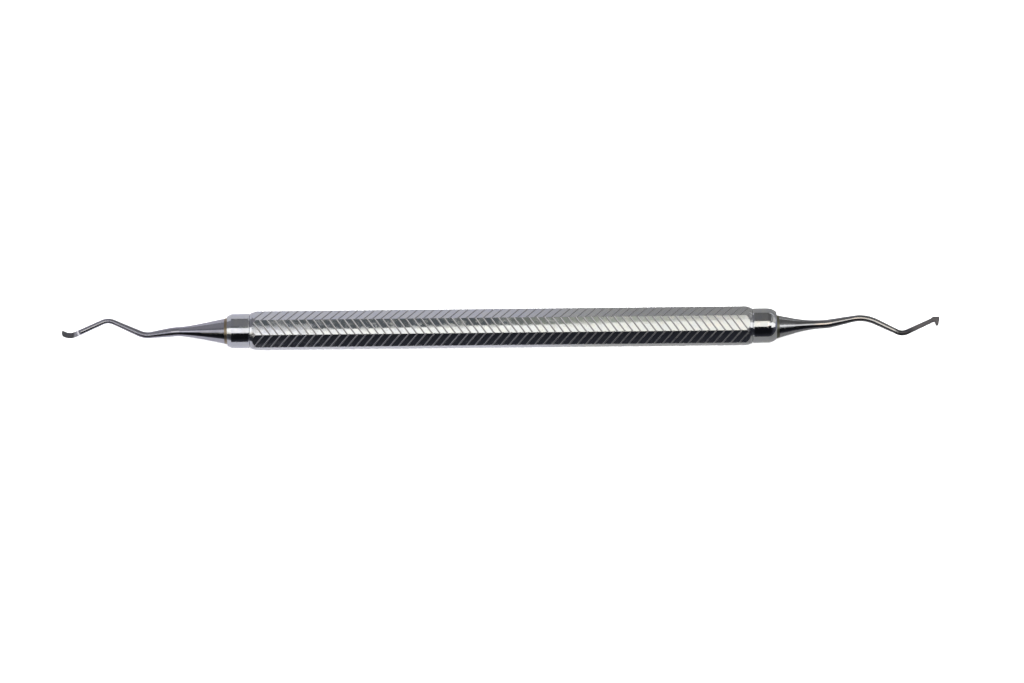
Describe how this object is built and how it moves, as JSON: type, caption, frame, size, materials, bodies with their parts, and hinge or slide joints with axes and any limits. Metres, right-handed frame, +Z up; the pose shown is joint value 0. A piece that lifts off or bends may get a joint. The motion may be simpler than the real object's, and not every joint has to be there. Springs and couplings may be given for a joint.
{
  "type": "dental scaler",
  "caption": "Double-ended dental scaler with an eight-sided grooved handle, a bent shank with a small curved blade at one end and a bent shank with a hooked blade at the other.",
  "frame": {"origin": "on the flat of the handle that the part lies on, under the middle of the eight-sided stretch", "axes": "+X along the handle towards the hooked end, +Y across it towards the side that the curved end's apex points to, +Z up out of the surface it lies on"},
  "size_m": [0.1667, 0.007, 0.007],
  "materials": {
    "handle_steel": "polished stainless steel with a fine grain",
    "shank_steel": "satin stainless steel",
    "braze": "dull brazing filler"
  },
  "bodies": {
    "root": {"handle": "handle_steel", "spoon_end": "shank_steel", "hoe_end": "shank_steel", "spoon_end_braze": "braze", "hoe_end_braze": "braze"}
  },
  "joints": []
}
